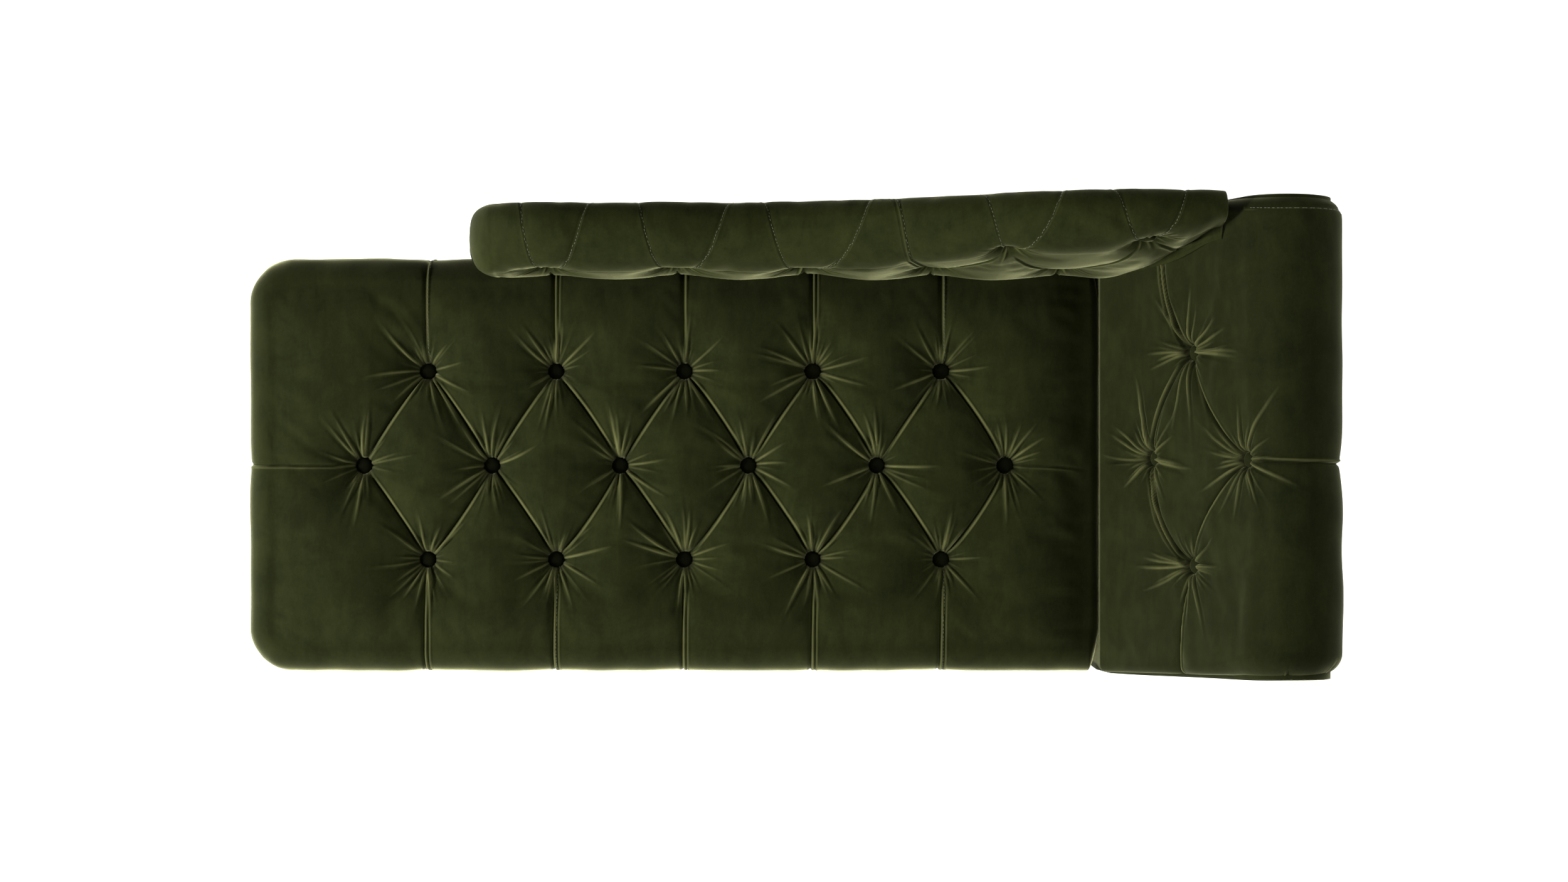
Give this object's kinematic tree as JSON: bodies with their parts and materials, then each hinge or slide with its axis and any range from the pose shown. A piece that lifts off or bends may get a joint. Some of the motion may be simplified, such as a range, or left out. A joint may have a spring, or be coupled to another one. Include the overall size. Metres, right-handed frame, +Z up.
{
  "type": "fainting couch",
  "caption": "Fainting couch with a deep buttoned velvet seat, one leaning scroll arm and a half back that sweeps up towards it, on turned wooden legs.",
  "frame": {"origin": "on the floor, under the middle of the couch seen from above", "axes": "+X from the foot end to the scroll arm, +Y from the open front to the back, +Z up"},
  "size_m": [1.6648, 0.73, 0.81],
  "materials": {
    "velvet": "matte",
    "stained_wood": "satin",
    "steel": "satin",
    "foam": "matte",
    "felt": "matte",
    "black_cloth": "matte",
    "jute": "matte",
    "card": "matte",
    "frame_wood": "matte"
  },
  "bodies": {
    "root": {"front_rail": "frame_wood", "rear_rail": "frame_wood", "foot_rail": "frame_wood", "head_rail": "frame_wood", "cross_stretchers": "frame_wood", "corner_blocks": "frame_wood", "seat_springs": "steel", "spring_clips": "steel", "spring_tie_wires": "black_cloth", "seat_insulator": "felt", "seat_foam": "foam", "seat_cover": "velvet", "seat_buttons": "velvet", "seat_button_ties": "jute", "base_band": "velvet", "dust_cover": "black_cloth", "leg_plates": "steel", "plate_screws": "steel", "front_foot_leg": "stained_wood", "rear_foot_leg": "stained_wood", "centre_leg": "stained_wood", "front_head_leg": "stained_wood", "rear_head_leg": "stained_wood", "hanger_bolts": "steel", "leg_glides": "steel", "arm_front_board": "frame_wood", "arm_rear_board": "frame_wood", "arm_middle_rib": "frame_wood", "arm_lower_rail": "frame_wood", "arm_tack_rail": "frame_wood", "arm_outer_rail": "frame_wood", "arm_leg_blocks": "frame_wood", "arm_roll_tube": "card", "arm_webbing": "jute", "arm_foam": "foam", "arm_cover": "velvet", "arm_buttons": "velvet", "arm_button_ties": "jute", "arm_front_facing": "velvet", "arm_rear_facing": "velvet", "arm_outside_panel": "velvet", "arm_dust_cover": "black_cloth", "arm_bolts": "steel", "back_posts": "frame_wood", "back_top_rail": "frame_wood", "back_bottom_rail": "frame_wood", "back_mount_rail": "frame_wood", "back_webbing": "jute", "back_foam": "foam", "back_cover": "velvet", "back_buttons": "velvet", "back_button_ties": "jute", "back_outside_panel": "velvet", "back_end_panel": "velvet", "back_bolts": "steel"}
  },
  "joints": []
}
